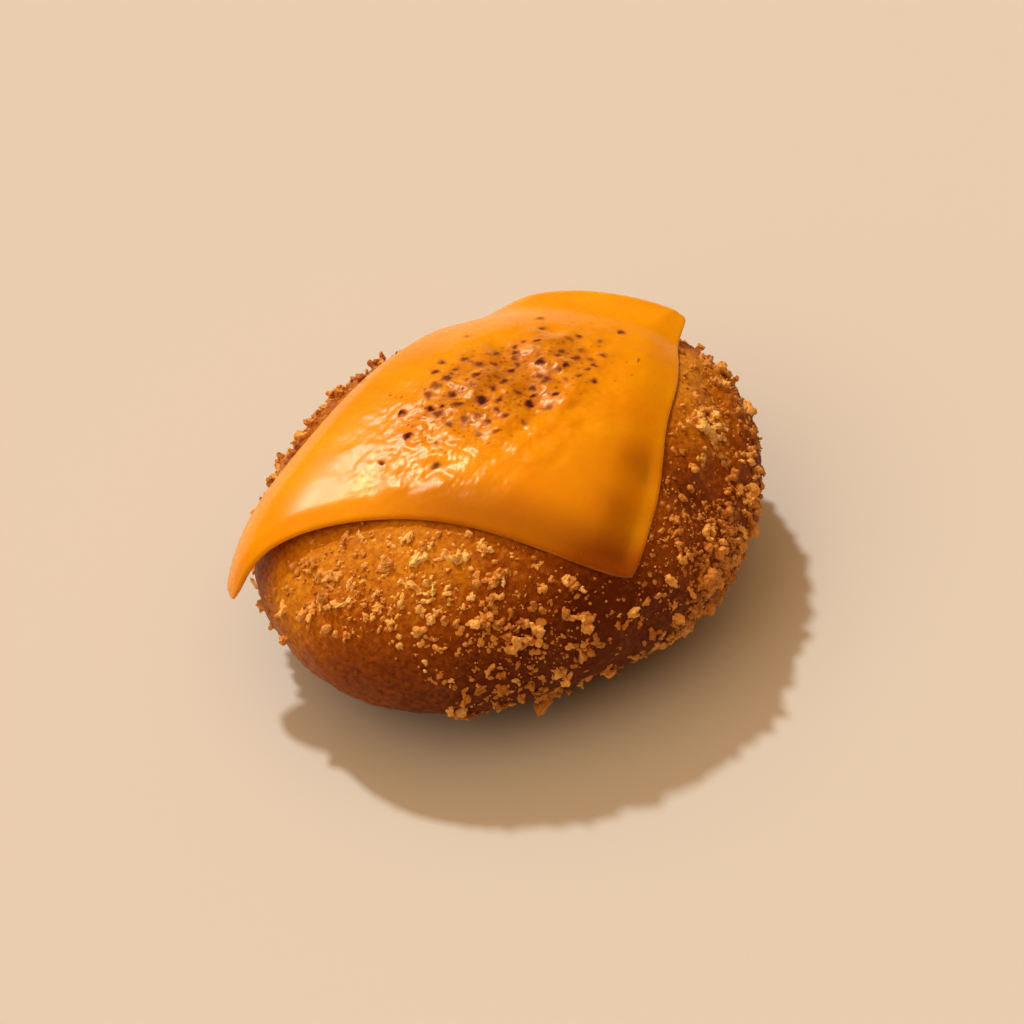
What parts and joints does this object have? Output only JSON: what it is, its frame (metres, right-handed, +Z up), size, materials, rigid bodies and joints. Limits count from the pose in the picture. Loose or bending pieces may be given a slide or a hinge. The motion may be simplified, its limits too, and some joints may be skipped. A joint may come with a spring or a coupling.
{
  "type": "curry bread",
  "caption": "Oval deep-fried curry bun coated in bread crumbs, with a melted, scorched slice of cheese draped over its crown and its corner hanging off the end.",
  "frame": {"origin": "on the table, at the middle of the flat spot that the bun rests on", "axes": "+Z up, +X along the bun's length towards the end that the slice leaves bare, +Y towards the slice's hidden back corner"},
  "size_m": [0.1145, 0.089, 0.0516],
  "materials": {
    "crust": "golden to deep brown fried crust with pale crumbs, slightly oily",
    "cheese": "melted orange cheese, smooth and glossy, blistered and scorched on the crown"
  },
  "bodies": {
    "root": {"bun": "crust", "cheese_slice": "cheese"}
  },
  "joints": []
}
